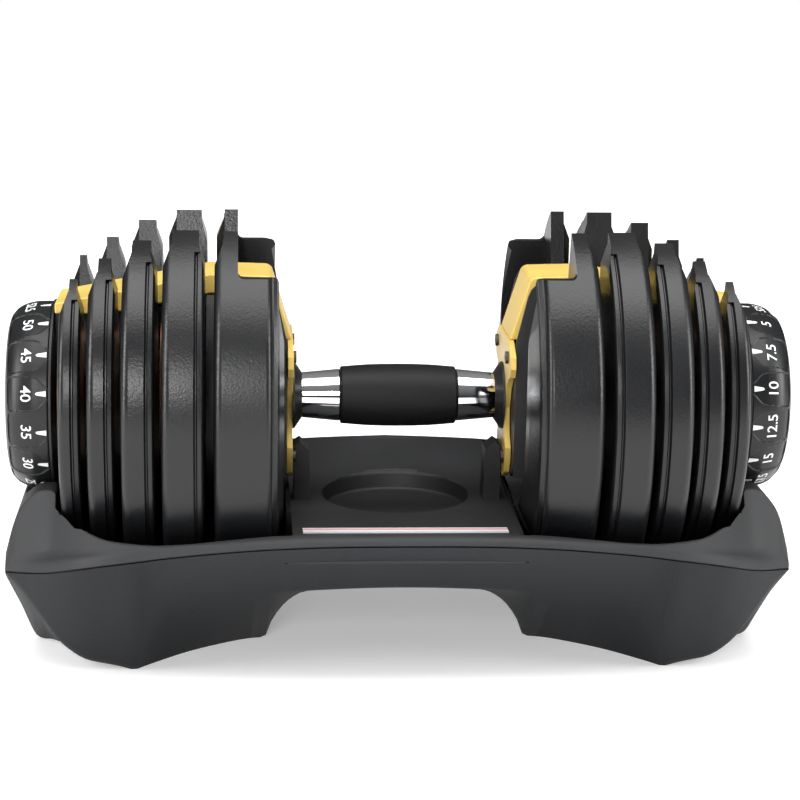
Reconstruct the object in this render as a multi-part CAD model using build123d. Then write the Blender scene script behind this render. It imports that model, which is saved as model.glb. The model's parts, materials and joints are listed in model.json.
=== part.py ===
from build123d import *
from math import cos, radians, sin
import os

# Adjustable dumbbell standing in its base. Millimetres, X along the handle, Z up,
# origin on the floor under the middle of the base.

# ---------------------------------------------------------------- driving dimensions
AXIS_HEIGHT = 132.0            # handle axis above the floor
RUNNING_CLEARANCE = 0.06       # radial, dial spindle on the tie rod
FREE_GAP = 0.4                 # between parts that only pass each other

PLATE_COUNT = 5
FIRST_PLATE_X = 172.5          # outer face of the outermost plate
PLATE_RADII = [78.0, 86.0, 94.5, 99.7, 100.8]
PLATE_THICKNESS = [11.0, 13.5, 16.5, 20.5, 34.5]
PLATE_GAPS = [3.5, 3.5, 3.5, 5.0]
CORE_THICKNESS = [4.4, 7.0, 10.2, 14.0, 24.0]
HORN_TIP_Y = [38.8, 36.6, 36.8, 37.4, 40.3]
HORN_BLOCK_HEIGHT = 5.5        # upright part at a horn's tip
HORN_SLOPE_HEIGHT = 10.5       # below it, where the horn widens to the plate
HORN_PLAIN_HEIGHT = 8.5        # top part of a horn without the rim's groove
HORN_OUTER_INSET = 4.0
HORN_INNER_INSET = 2.7
RIDGE_WIDTH = 3.6              # raised band round the inner edge of a plate's rim
RIM_SHOULDER = 4.5             # rounding of a rim's outer edge
NOTCH_HALF_WIDTH = 16.0        # of the slot at the handle axis
COVER_WALL = 3.0
HUB_HOLE = 8.0                 # plates are turned about this hole, inside the slot's round end

STEP_DEPTH = 23.0              # inner part of the biggest plate
STEP_RADIUS = 63.0             # round pocket and U-slot in that part
STEP_TOP = 73.0                # its top above the handle axis
STEP_CORNER = 6.4              # rounding of its top corner
STEP_FILLET = 3.0              # where it meets the horns
STEP_RIM_START, STEP_RIM_ROUND = 9.4, 3.2       # rounded inner edge of its rim, from the inner face

POCKET_DEPTH = 4.4             # recess for the selector flange in a plate's outer face
POCKET_HALF_WIDTH = 46.5
TAB_TIP_Y = 27.0
TAB_HEIGHT = 6.0

TIE_ROD_RADIUS = 5.0
TIE_ROD_HALF_LENGTH = 191.0
SPINDLE_RADIUS = 11.0
SPINDLE_START = 64.2
DISC_RADIUS = 43.5
DISC_THICKNESS = 1.5
DISC_OFFSET = 1.0              # from the plate's face
FLANGE_THICKNESS = 3.0
FLANGE_REACH = 3.2             # into the plate's pocket
WHEEL_RADIUS = 26.7
WHEEL_START, WHEEL_END = 64.6, 68.0

DIAL_STEPS = 15
STEP_ANGLE = 360.0 / DIAL_STEPS
DIAL_RADIUS = 49.0
DIAL_START = 179.0
DIAL_FLANGE_START = 177.8
DIAL_FACE = 201.8              # outer rim of the knob
DIAL_WALL = 2.8
CAP_RADIUS = 24.5
TAB_ANGLE = 50.0               # where a plate's tab meets the flange, up from the front

GRIP_HALF_LENGTH = 30.3
TUBE_RADIUS = 13.7
TUBE_END_RADIUS = 11.9
COLLAR_START, COLLAR_END = 50.6, 55.4
COLLAR_RADIUS = 17.7
END_PLATE_START, END_PLATE_END = 55.5, 58.5

PIN_RADIUS = 3.0
PIN_Z = -30.0                  # below the handle axis
PIN_START, PIN_NOSE, PIN_END = 55.0, 69.0, 72.0
PIN_NOSE_RADIUS = 5.5

HOOD_HALF_WIDTH = 21.0
HOOD_WALL = 3.0
HOOD_SIDE = 10.0
HOOD_LOWEST = 46.6
HOOD_OUTER_X = 177.2
HOOD_TOP = [(66.0, 64.4), (67.4, 66.0), (69.4, 66.6), (98.0, 67.4), (HOOD_OUTER_X, 52.0)]
BEAM_HALF_WIDTH = 15.0
BEAM_TOP = HOOD_LOWEST + 2.6
SEPARATOR_RADIUS = 61.0        # round web between the two biggest plates
SEPARATOR_START, SEPARATOR_END = 98.5, 99.9
SEPARATOR_RIM_START = 96.1     # thicker outside the selector disc
SEPARATOR_SHOULDER = 56.8      # above this height it stands inside the hood
HOOD_CHANNEL = HOOD_HALF_WIDTH - HOOD_WALL - FREE_GAP
CHEEK_START, CHEEK_END = 58.9, 79.0
CHEEK_BOTTOM, CHEEK_TOP = -38.0, 64.8
CHEEK_Y, CHEEK_THICKNESS = 28.0, 2.0

DECK_HALF_LENGTH = 59.0
DECK_UNDERSIDE = 66.0
DECK_CURVE_RADIUS = 780.0
DECK_LOWEST_Y, DECK_LOWEST_Z = -20.0, 76.6
DISH_Y = 6.0
DISH_FLOOR = 69.5
LABEL_LENGTH, LABEL_WIDTH, LABEL_THICKNESS = 103.0, 10.0, 1.0
LABEL_PLACE = (0.0, -76.0, 78.9)
LABEL_TILT = -4.1
WELL_CLEARANCE = 0.5
WELL_END_GAP = 0.8
RIB_HEIGHT = 8.0
BOWL_WALL = 3.5
BOWL_TOP = 72.0
WELL_OUTLINE = [(59.5, 97), (105, 97.5), (128, 94.5), (150, 85.5), (165, 73), (175.4, 58)]
SADDLE_START = 174.4
SADDLE_GAP = 2.2               # between the dial and the base's end wall
SKIRT_WALL = 4.0
REAR_RISE = 3.0                # the rear edge of the deck stands this much higher
REAR_RISE_LENGTH = 110.0
BOSSES = [(84.0, 30.0), (151.0, 44.0)]          # (x, top) of the screw bosses
BOSS_RADIUS = 7.0
FOOT_PLACES = [(137.0, 40.0), (137.0, -40.0)]
FOOT_RADIUS, FOOT_HEIGHT = 9.0, 2.0

# Cross-sections of the base along X, right half: (x, parting line, lip, bevel foot, top,
# lower edge, foot). Each pair is (y, z) above the floor.
BASE_STATIONS = [
    (0, (106, 79), (104.6, 82), (101.5, 83.5), (97, 83), (58, 43.6), (8, 28.6)),
    (43, (105.8, 78.6), (104.4, 81.6), (101.3, 83.2), (97, 82.8), (58, 42.4), (8, 27.4)),
    (53, (105.6, 78.2), (104.2, 81.3), (101, 83), (97, 82.7), (58, 41.9), (8, 24.6)),
    (61, (105.4, 77.8), (104, 80.8), (101, 82.5), (97.2, 82.3), (58, 41.4), (7, 17.4)),
    (67, (105.2, 77.5), (103.8, 80.5), (101, 82.1), (97.4, 82.1), (58, 40.7), (6, 7.5)),
    (70, (105.1, 77.3), (103.7, 80.3), (101, 81.9), (97.5, 81.9), (58, 40.3), (5, 0)),
    (97, (103.4, 74.8), (102, 78), (100, 79.5), (98, 79.5), (58, 35.6), (18, 0)),
    (114, (101.4, 72.6), (100.1, 76), (99, 77.6), (97.3, 77.8), (58, 31.2), (32, 0)),
    (124, (99.9, 71), (98.6, 74.8), (97.4, 76.4), (95.6, 77.1), (58, 25.2), (42.5, 0)),
    (130, (98.9, 69.9), (97.5, 73.9), (96.3, 75.6), (94.7, 77), (57.8, 15.6), (49, 0)),
    (137, (97.8, 68.7), (96.3, 73), (95, 74.8), (93.2, 77), (57.4, 1.2), (56, 0)),
    (150, (94, 66), (92.4, 70.5), (90.2, 72.4), (86.5, 77.6), (57, 2.8), (42, 0)),
    (165, (86, 61.8), (84.3, 66.8), (81, 68.8), (71.5, 82.5), (55.5, 6.8), (25, 0)),
    (178, (73.5, 56.8), (71.7, 61.8), (68, 64.5), (51.5, 93.6), (54, 18.6), (10, 0)),
    (184, (67.5, 54.8), (65.7, 59.6), (62.5, 62.6), (49.6, 93), (53.3, 27.6), (5, 0)),
    (190, (61.5, 53.2), (60, 57.6), (57.6, 61), (48, 88), (52.4, 36.6), (6, 2)),
    (198, (54.5, 51.6), (53.6, 55.6), (52.3, 58), (46, 74), (51.4, 46.5), (20, 26)),
    (203, (51.4, 51), (51.2, 51.6), (50.8, 52), (46, 52.6), (51, 50.4), (46, 49.4)),
]

# settings of one dial, lowest first: which plates each of them picks up
SETTINGS = [
    (), (1,), (2,), (1, 2), (3,), (1, 3), (2, 3), (1, 2, 3), (2, 4), (3, 4),
    (4, 5), (2, 4, 5), (3, 4, 5), (2, 3, 4, 5), (1, 2, 3, 4, 5),
]

os.makedirs("parts", exist_ok=True)


# ---------------------------------------------------------------- helpers
def save(shape, name):
    export_step(shape, f"parts/{name}.step")


def revolve_about_axis(points):
    """Solid of revolution about the handle axis from (x, radius) points."""
    outline = make_face(Polyline([(x, r) for x, r in points], close=True))
    return revolve(Plane.XZ * outline, Axis.X)


def ring(start, end, outer, inner=0.0):
    """Cylinder or tube about the handle axis between two places along it."""
    solid = Pos((start + end) / 2, 0, 0) * Rot(0, 90, 0) * Cylinder(outer, end - start)
    if inner:
        solid -= Pos((start + end) / 2, 0, 0) * Rot(0, 90, 0) * Cylinder(inner, end - start + 2)
    return solid


def slab_yz(points, start, end):
    """Outline in the YZ plane, extruded along the handle between two places."""
    outline = make_face(Polyline(points, close=True))
    return Pos(start, 0, 0) * extrude(Plane.YZ * outline, end - start)


def slab_xz(points, half_width):
    """Outline in the XZ plane, extruded to both sides of the handle axis."""
    outline = make_face(Polyline(points, close=True))
    return extrude(Plane.XZ * outline, half_width, both=True)


def block(x0, x1, y0, y1, z0, z1):
    middle = ((x0 + x1) / 2, (y0 + y1) / 2, (z0 + z1) / 2)
    return Pos(*middle) * Box(x1 - x0, y1 - y0, z1 - z0)


def mirrored(points):
    """Closed outline from its right half, listed from bottom to top."""
    return list(points) + [(-y, z) for y, z in reversed(points)]


def place(shape, side):
    """Lift a part modelled about the handle axis, on the right, to its own side."""
    if side < 0:
        shape = shape.mirror(Plane.YZ)
    return Pos(0, 0, AXIS_HEIGHT) * shape


SIDES = [("left", -1), ("right", 1)]


def plate_positions():
    """(outer face, inner face) of each plate along the handle."""
    faces = []
    outer = FIRST_PLATE_X
    for thickness, gap in zip(PLATE_THICKNESS, PLATE_GAPS + [0.0]):
        faces.append((outer, outer - thickness))
        outer -= thickness + gap
    return faces


PLATES = plate_positions()


# ---------------------------------------------------------------- weight plates
def notch(index, grow, start, end):
    """The slot, open at the top, that lets the handle down into a plate."""
    slope = (HORN_TIP_Y[index] - NOTCH_HALF_WIDTH) / tip_height(index)
    top_z = PLATE_RADII[index] + 20
    top_y = NOTCH_HALF_WIDTH + slope * top_z + grow
    sides = mirrored([(NOTCH_HALF_WIDTH + grow, 0), (top_y, top_z)])
    return slab_yz(sides, start, end) + ring(start, end, NOTCH_HALF_WIDTH + grow)


def tip_height(index):
    """Height of the horns' tips above the handle axis."""
    return (PLATE_RADII[index] ** 2 - HORN_TIP_Y[index] ** 2) ** 0.5


def arc(centre, radius, start_angle, end_angle, steps=6):
    """Points of an arc in a plane, angles in degrees."""
    turns = [radians(start_angle + (end_angle - start_angle) * step / steps) for step in range(steps + 1)]
    return [(centre[0] + radius * cos(turn), centre[1] + radius * sin(turn)) for turn in turns]


def rim_profile(radius, outer, inner):
    """Rounded rim with a groove and a slightly lower ridge on the handle side."""
    shoulder = min(RIM_SHOULDER, (outer - inner) * 0.3)
    ridge = inner + RIDGE_WIDTH
    points = [(outer, HUB_HOLE)]
    points += arc((outer - shoulder, radius - shoulder), shoulder, 0, 90)
    points += [
        (ridge + 1.4, radius),
        (ridge + 0.6, radius - 1.7),
        (ridge + 0.1, radius - 1.7),
        (ridge - 0.5, radius - 0.7),
        (inner + 1.2, radius - 0.9),
        (inner + 0.4, radius - 1.8),
        (inner, radius - 3.6),
        (inner, HUB_HOLE),
    ]
    return points


def horn_block(index, start, end):
    """Plain top of the horns, without the rim's groove."""
    lowest = tip_height(index) - HORN_PLAIN_HEIGHT
    return ring(start, end, PLATE_RADII[index]) & block(start - 1, end + 1, -120, 120, lowest, 120)


def horn_lean(face_x, direction, tip_z, inset):
    """Wedge that makes one face of the horns narrow towards their tips."""
    slope_top = tip_z - HORN_BLOCK_HEIGHT
    start = slope_top - HORN_SLOPE_HEIGHT
    top = tip_z + 6.0
    points = [
        (face_x + direction, start), (face_x + direction, top), (face_x - direction * inset, top),
        (face_x - direction * inset, slope_top), (face_x, start),
    ]
    return slab_xz(points, 120)


def selector_pocket(outer):
    """Recess in the outer face for the selector flange, open upwards."""
    floor = outer - POCKET_DEPTH
    opening = block(floor, outer + 1, -POCKET_HALF_WIDTH, POCKET_HALF_WIDTH, 0, 120)
    return opening + ring(floor, outer + 1, POCKET_HALF_WIDTH)


def pick_up_tab(outer):
    """Bar across the pocket that the selector flange lifts."""
    bottom = (DISC_RADIUS**2 - TAB_TIP_Y**2) ** 0.5 + 0.8
    floor = outer - POCKET_DEPTH - 0.5
    return block(floor, outer - 0.3, -POCKET_HALF_WIDTH - 0.5, -TAB_TIP_Y, bottom, bottom + TAB_HEIGHT)


def plate_body(index):
    radius = PLATE_RADII[index]
    outer, inner = PLATES[index]
    tip_z = tip_height(index)
    if index < PLATE_COUNT - 1:
        body = revolve_about_axis(rim_profile(radius, outer, inner)) + horn_block(index, inner, outer)
        body -= horn_lean(inner, -1, tip_z, HORN_INNER_INSET)
    else:
        body = stepped_plate(radius, outer, inner) + horn_block(index, inner + STEP_DEPTH, outer)
    body -= horn_lean(outer, 1, tip_z, HORN_OUTER_INSET)
    body -= notch(index, 0, inner - 1, outer + 1)
    body -= selector_pocket(outer)
    return body + pick_up_tab(outer)


def stepped_plate(radius, outer, inner):
    """Biggest plate: a thin horned part outside and a deep part with a U-slot inside."""
    step = inner + STEP_DEPTH
    profile = [(outer, HUB_HOLE)]
    profile += arc((outer - RIM_SHOULDER, radius - RIM_SHOULDER), RIM_SHOULDER, 0, 90)
    profile += arc((inner + STEP_RIM_START, radius - STEP_RIM_ROUND), STEP_RIM_ROUND, 90, 150, 4)
    profile += [
        (inner + 6.2, radius - 2.6), (inner + 5.4, radius - 2.4), (inner + 3.6, radius - 3.4),
        (inner + 3.4, radius - 4.6), (inner + 2.7, radius - 6.4), (inner + 4.8, radius - 8.4),
        (inner, radius - 26), (inner, HUB_HOLE),
    ]
    body = revolve_about_axis(profile)
    slot_sides = mirrored([(STEP_RADIUS, 0), (STEP_RADIUS, 120)])
    body -= slab_yz(slot_sides, inner - 1, step) + ring(inner - 1, step, STEP_RADIUS)
    above_step = [(inner - 1, 120), (inner - 1, STEP_TOP - STEP_CORNER)]
    above_step += arc((inner + STEP_CORNER, STEP_TOP - STEP_CORNER), STEP_CORNER, 180, 90)
    above_step += arc((step - STEP_FILLET, STEP_TOP + STEP_FILLET), STEP_FILLET, 270, 360)
    return body - slab_xz(above_step + [(step, 120)], 120)


def plate_core(index):
    """Steel core, buried in the moulded cover."""
    radius = PLATE_RADII[index] - COVER_WALL - 1.6
    outer, inner = PLATES[index]
    thickness = CORE_THICKNESS[index]
    if index < PLATE_COUNT - 1:
        start = inner + 1.5
        core = ring(start, start + thickness, radius)
        core -= notch(index, COVER_WALL, start - 1, start + thickness + 1)
        top = tip_height(index) - HORN_BLOCK_HEIGHT - HORN_SLOPE_HEIGHT - COVER_WALL
    else:
        start = inner + 7.0
        core = ring(start, start + thickness, radius, STEP_RADIUS + COVER_WALL)
        core -= block(start - 1, outer, -STEP_RADIUS - COVER_WALL, STEP_RADIUS + COVER_WALL, 0, 120)
        top = STEP_TOP - STEP_CORNER - COVER_WALL
    return core - block(0, outer + 1, -120, 120, top, 120)


def make_plates(side_name, side):
    for index in range(PLATE_COUNT):
        core = plate_core(index)
        cover = plate_body(index) - core
        save(place(cover, side), f"{side_name}_plate_{index + 1}_cover")
        save(place(core, side), f"{side_name}_plate_{index + 1}_core")


# ---------------------------------------------------------------- handle
def handle_tube():
    half = [
        (0, 12.5), (GRIP_HALF_LENGTH + 0.1, 12.5), (GRIP_HALF_LENGTH + 0.1, TUBE_RADIUS - 0.4),
        (GRIP_HALF_LENGTH + 0.9, TUBE_RADIUS), (COLLAR_START - 0.1, TUBE_END_RADIUS),
        (COLLAR_START - 0.1, 11.0), (COLLAR_END, 11.0),
    ]
    bore = TIE_ROD_RADIUS + 0.3
    other_half = [(-x, r) for x, r in reversed(half[1:])]
    return revolve_about_axis(other_half + half + [(COLLAR_END, bore), (-COLLAR_END, bore)])


def grip_sleeve():
    """Barrel-shaped rubber grip with rounded lips."""
    crown = [(0, 16.4), (8, 16.35), (16, 16.1), (23, 15.6), (27.5, 15.2)]
    half = crown + [(29.6, 15.1), (GRIP_HALF_LENGTH, 14.5), (GRIP_HALF_LENGTH, 12.6)]
    outline = [(-x, r) for x, r in reversed(half[1:])] + half
    return revolve_about_axis(outline)


def collar():
    """Cone that joins the tube to the end plate."""
    points = [
        (COLLAR_START, TUBE_END_RADIUS + 0.2), (COLLAR_END - 1.0, COLLAR_RADIUS),
        (COLLAR_END, COLLAR_RADIUS), (COLLAR_END, 11.1), (COLLAR_START, 11.1),
    ]
    return revolve_about_axis(points)


def end_plate():
    """Flat inner plate: two ears above the collar and a lobe below it."""
    right_half = [
        (0, -43), (9, -42), (16, -38), (20, -31), (20.5, -24), (14, -18), (12, -12), (12, -4),
        (19, 8), (26, 14), (33, 16), (36.5, 21), (35, 27), (28, 31), (22.5, 33.5), (0, 33.5),
    ]
    plate = slab_yz(mirrored(right_half[1:-1]), END_PLATE_START, END_PLATE_END)
    plate -= ring(END_PLATE_START - 1, END_PLATE_END + 1, TIE_ROD_RADIUS + 0.3)
    for y, z in end_plate_screw_places():
        plate -= Pos(0, y, z) * ring(END_PLATE_START - 1, END_PLATE_END + 1, 1.8)
    return plate - Pos(0, 0, PIN_Z) * ring(END_PLATE_START - 1, END_PLATE_END + 1, PIN_RADIUS + FREE_GAP)


def end_plate_screw_places():
    return [(24, 25), (-24, 25), (13, -30), (-13, -30)]


def end_plate_screw():
    """Pan-head screw with a cross recess, its head on the inner face."""
    head = ring(END_PLATE_START - 1.6, END_PLATE_START, 3.2)
    for angle in (0, 90):
        head -= Rot(angle, 0, 0) * block(END_PLATE_START - 2, END_PLATE_START - 0.7, -2, 2, -0.4, 0.4)
    return head + ring(END_PLATE_START, END_PLATE_END + 1.7, 1.7)


def bridge_hood():
    """Cover over the plates' slots, open below, with a sloping inner end."""
    foot = (56.4, 33.5)
    top = [foot] + HOOD_TOP
    underside = [
        (HOOD_OUTER_X, HOOD_LOWEST), (150.0, HOOD_LOWEST), (98.0, 67.4 - HOOD_SIDE),
        (75.0, 66.6 - HOOD_SIDE), (70.5, 53.5), (64.5, 33.5),
    ]
    outside = slab_xz(top + underside, HOOD_HALF_WIDTH)
    inside = [
        (foot[0] + HOOD_WALL, foot[1] - 1), (68.9, 62.4), (71.0, 63.6), (98.0, 64.4),
        (HOOD_OUTER_X + 1, 49.3), (HOOD_OUTER_X + 1, 20), (foot[0] + HOOD_WALL, 20),
    ]
    return outside - slab_xz(inside, HOOD_HALF_WIDTH - HOOD_WALL)


def separator():
    """Thin round web that stands in the gap between the two biggest plates."""
    web = ring(SEPARATOR_START, SEPARATOR_END, SEPARATOR_RADIUS, SPINDLE_RADIUS + FREE_GAP)
    web += ring(SEPARATOR_RIM_START, SEPARATOR_END, SEPARATOR_RADIUS, DISC_RADIUS + 1.1)
    hood_sides = block(SEPARATOR_RIM_START - 1, SEPARATOR_END + 1, HOOD_CHANNEL, 70, SEPARATOR_SHOULDER, 70)
    return web - hood_sides - mirror(hood_sides, about=Plane.XZ)


def cheek():
    """Flat side of the housing, its inner edge in line with the hood's sloping end."""
    outline = [
        (CHEEK_START, CHEEK_BOTTOM), (CHEEK_START, 34), (64.4, 57.4), (66.0, 61.2), (68.6, 63.8),
        (72.0, CHEEK_TOP), (CHEEK_END, CHEEK_TOP), (CHEEK_END, CHEEK_BOTTOM),
    ]
    whole = slab_xz(outline, CHEEK_Y + CHEEK_THICKNESS)
    return whole - slab_xz([(50, -60), (50, 80), (90, 80), (90, -60)], CHEEK_Y)


def bearing_frame():
    """Flat beam under the hood with bulkheads that carry the tie rod and the spindle."""
    frame = block(65.4, HOOD_OUTER_X, -BEAM_HALF_WIDTH, BEAM_HALF_WIDTH, HOOD_LOWEST, BEAM_TOP)
    frame += slab_yz(mirrored([(18, -40), (26, -34), (29, -24), (29, 32)]), 58.9, 63.8)
    frame += cheek()
    strut = [(60.0, 31), (63.8, 31), (69.6, HOOD_LOWEST), (69.6, BEAM_TOP), (65.3, BEAM_TOP)]
    frame += slab_xz(strut, BEAM_HALF_WIDTH)
    frame += slab_yz(mirrored([(8, -37), (13, -30), (13, BEAM_TOP)]), 80.0, 82.0)
    frame += slab_yz(mirrored([(8, -15), (15, -8), (15, BEAM_TOP)]), 175.2, HOOD_OUTER_X)
    frame += separator()
    for x, top in ((84.0, 63.4), (140.0, 55.0)):
        frame += block(x, x + 3, -12, 12, BEAM_TOP - 1, top)
    frame -= ring(58, 64, TIE_ROD_RADIUS + 0.3)
    frame -= ring(79, 83, SPINDLE_RADIUS + FREE_GAP) + ring(175, 178, SPINDLE_RADIUS + FREE_GAP)
    frame -= Pos(0, 0, PIN_Z) * ring(58, 64, PIN_RADIUS + FREE_GAP)
    for y, z in end_plate_screw_places():
        frame -= Pos(0, y, z) * ring(58, END_PLATE_END + 2, 2.0)
    return frame


def lock_pin():
    """Spring-loaded pin whose nose drops between two teeth of the spindle's wheel."""
    pin = ring(PIN_START + 1, PIN_END, PIN_RADIUS) + ring(PIN_NOSE, PIN_END, PIN_NOSE_RADIUS)
    tip = revolve_about_axis([(PIN_START, 0), (PIN_START, 2), (PIN_START + 1, PIN_RADIUS), (PIN_START + 1, 0)])
    return Pos(0, 0, PIN_Z) * (pin + tip)


def lock_spring():
    wire_radius, coil_radius, pitch = 0.45, 3.6, 1.7
    length = 79.2 - PIN_END - 1.2
    path = Helix(pitch=pitch, height=length, radius=coil_radius)
    section = Plane(origin=path @ 0, z_dir=path % 0) * Circle(wire_radius)
    coil = sweep(section, path=path, is_frenet=True)
    return Pos(PIN_END + 0.8, 0, PIN_Z) * Rot(0, 90, 0) * coil


def end_nut():
    nut = Pos(185, 0, 0) * extrude(Plane.YZ * RegularPolygon(8.5, 6), 6)
    washer = ring(184.5, 185, 10)
    return nut + washer - ring(184, 192, TIE_ROD_RADIUS)


def make_handle():
    save(place(handle_tube(), 1), "handle_tube")
    save(place(grip_sleeve(), 1), "grip_sleeve")
    save(place(ring(-TIE_ROD_HALF_LENGTH, TIE_ROD_HALF_LENGTH, TIE_ROD_RADIUS), 1), "tie_rod")
    screws, springs, nuts = [], [], []
    for side_name, side in SIDES:
        save(place(collar(), side), f"{side_name}_collar")
        save(place(end_plate(), side), f"{side_name}_end_plate")
        save(place(bridge_hood(), side), f"{side_name}_bridge_hood")
        save(place(bearing_frame(), side), f"{side_name}_bearing_frame")
        save(place(lock_pin(), side), f"{side_name}_lock_pin")
        screws += [place(Pos(0, y, z) * end_plate_screw(), side) for y, z in end_plate_screw_places()]
        springs.append(place(lock_spring(), side))
        nuts.append(place(end_nut(), side))
    save(Compound(screws), "end_plate_screws")
    save(Compound(springs), "lock_springs")
    save(Compound(nuts), "end_nuts")


# ---------------------------------------------------------------- dials
def setting_angle(setting, side):
    """Where a setting's flange segment lies now, degrees up from the front."""
    return TAB_ANGLE - side * STEP_ANGLE * (setting - DIAL_STEPS + 1)


def sector(start_angle, end_angle, start, end, outer, inner):
    """Part of a ring between two angles, measured from the front upwards."""
    span = end_angle - start_angle
    count = max(2, int(span / 8) + 2)
    turns = [radians(start_angle + span * step / (count - 1)) for step in range(count)]
    far = outer * 1.3
    fan = [(0.0, 0.0)] + [(-far * cos(turn), far * sin(turn)) for turn in turns]
    return ring(start, end, outer, inner) & slab_yz(fan, start, end)


def flange_runs(plate_number, side):
    """Start and end angles of each unbroken stretch of a disc's flange."""
    picked = [plate_number in plates for plates in SETTINGS]
    runs = []
    setting = 0
    while setting < DIAL_STEPS:
        if not picked[setting]:
            setting += 1
            continue
        last = setting
        while last + 1 < DIAL_STEPS and picked[last + 1]:
            last += 1
        ends = sorted([setting_angle(setting, side), setting_angle(last, side)])
        runs.append((ends[0] - 9.5, ends[1] + 9.5))
        setting = last + 1
    return runs


def selector_disc(plate_number, side):
    """Thin disc beside a plate, with a partial flange that reaches under its tab."""
    outer = PLATES[plate_number - 1][0]
    start = outer + DISC_OFFSET
    disc = ring(start, start + DISC_THICKNESS, DISC_RADIUS, SPINDLE_RADIUS + 0.05)
    for first, last in flange_runs(plate_number, side):
        middle = (first + last) / 2
        for a, b in ((first, middle), (middle, last)):
            disc += sector(a, b, outer - FLANGE_REACH, start + 0.5, DISC_RADIUS, DISC_RADIUS - FLANGE_THICKNESS)
    return disc


def spindle():
    """Tube that turns with the dial: flange outside, notched index wheel inside."""
    body = ring(SPINDLE_START, 184.3, SPINDLE_RADIUS)
    body += ring(DIAL_FLANGE_START, DIAL_START - 0.1, DIAL_RADIUS + 1.0)
    wheel = ring(WHEEL_START, WHEEL_END, WHEEL_RADIUS)
    for step in range(DIAL_STEPS):
        gap = Pos(0, 0, PIN_Z) * ring(WHEEL_START - 1, WHEEL_END + 1, PIN_NOSE_RADIUS + FREE_GAP)
        wheel -= Rot(step * STEP_ANGLE, 0, 0) * gap
    return body + wheel - ring(SPINDLE_START - 1, 186, TIE_ROD_RADIUS + RUNNING_CLEARANCE)


def dial_knob():
    """Hollow knob whose skirt tapers to a domed outer face."""
    points = [
        (DIAL_START, DIAL_RADIUS - 4), (DIAL_START, DIAL_RADIUS - 0.6), (DIAL_START + 0.8, DIAL_RADIUS),
        (187.0, 48.9), (192.4, 47.8), (196.4, 46.0), (199.4, 43.2), (201.2, 39.8), (DIAL_FACE, 36.0),
        (DIAL_FACE, CAP_RADIUS + 0.1), (DIAL_FACE - DIAL_WALL, CAP_RADIUS + 0.1),
        (DIAL_FACE - DIAL_WALL, 36.0), (195.6, 41.5), (188.0, 44.6),
    ]
    return revolve_about_axis(points)


def dial_cap():
    """Round cap that closes the knob."""
    points = [
        (DIAL_FACE - 5.2, 0), (DIAL_FACE + 0.8, 0), (DIAL_FACE + 0.6, 12.0), (DIAL_FACE, 20.0),
        (DIAL_FACE - 1.0, CAP_RADIUS), (DIAL_FACE - DIAL_WALL - 0.4, CAP_RADIUS),
        (DIAL_FACE - DIAL_WALL - 0.4, CAP_RADIUS + 3.5), (DIAL_FACE - 5.2, CAP_RADIUS + 3.5),
    ]
    return revolve_about_axis(points)


def make_dials():
    for side_name, side in SIDES:
        save(place(spindle(), side), f"{side_name}_dial_spindle")
        save(place(dial_knob(), side), f"{side_name}_dial_knob")
        save(place(dial_cap(), side), f"{side_name}_dial_cap")
        for plate_number in range(1, PLATE_COUNT + 1):
            disc = selector_disc(plate_number, side)
            save(place(disc, side), f"{side_name}_selector_disc_{plate_number}")


# ---------------------------------------------------------------- base
def loft_along_x(sections):
    """Ruled body through YZ outlines, each given as (x, points)."""
    faces = [Pos(x, 0, 0) * (Plane.YZ * make_face(Polyline(points, close=True))) for x, points in sections]
    return loft(faces, ruled=True)


def both_ends(make_outline, stations):
    """Sections for the whole base: the right half's stations, mirrored to the left."""
    right = [(s[0], make_outline(s)) for s in stations]
    left = [(-x, points) for x, points in reversed(right[1:])]
    return left + right


def tray_outline(station):
    x, parting, lip, bevel, top = station[:5]
    rise = REAR_RISE * max(0.0, 1 - x / REAR_RISE_LENGTH)
    half = [parting, lip, bevel, top]
    front = [(-y, z) for y, z in half]
    rear = [(y, z + (rise if (y, z) != parting else 0)) for y, z in half]
    return front + list(reversed(rear))


def skirt_outline(station):
    parting, lower, foot = station[1], station[5], station[6]
    return mirrored([foot, lower, parting])


def skirt_hollow_outline(station):
    x, parting, lower, foot = station[0], station[1], station[5], station[6]
    drop = 9.0 if 55 < x < 75 else SKIRT_WALL
    inner_foot = (max(foot[0] - 3, 4), foot[1] + drop)
    inner_lower = (lower[0] - 4.5, max(lower[1] + 3.5, inner_foot[1] + 1))
    return mirrored([inner_foot, inner_lower, (parting[0] - 5.5, parting[1] + 1)])


def wells(grow, side):
    """Cylinders about the handle axis that the plates lie in, one step for each plate."""
    space = None
    for index, (outer, inner) in enumerate(PLATES):
        radius = PLATE_RADII[index] + WELL_CLEARANCE + grow
        step = ring(inner - WELL_END_GAP - grow, outer + WELL_END_GAP + grow, radius)
        space = step if space is None else space + step
        if index < PLATE_COUNT - 1 and not grow:
            space += ring(PLATES[index + 1][0] - 1, inner + 1, PLATE_RADII[index] - RIB_HEIGHT)
    return place(space, side)


def well_opening(side):
    points = [(x, -y) for x, y in WELL_OUTLINE] + [(x, y) for x, y in reversed(WELL_OUTLINE)]
    prism = Pos(0, 0, 62) * extrude(make_face(Polyline(points, close=True)), 60)
    return prism if side > 0 else prism.mirror(Plane.YZ)


def deck_body():
    """Slab between the wells, below the lip."""
    return block(-DECK_HALF_LENGTH - 2, DECK_HALF_LENGTH + 2, -91, 91, DECK_UNDERSIDE, 80)


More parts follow.
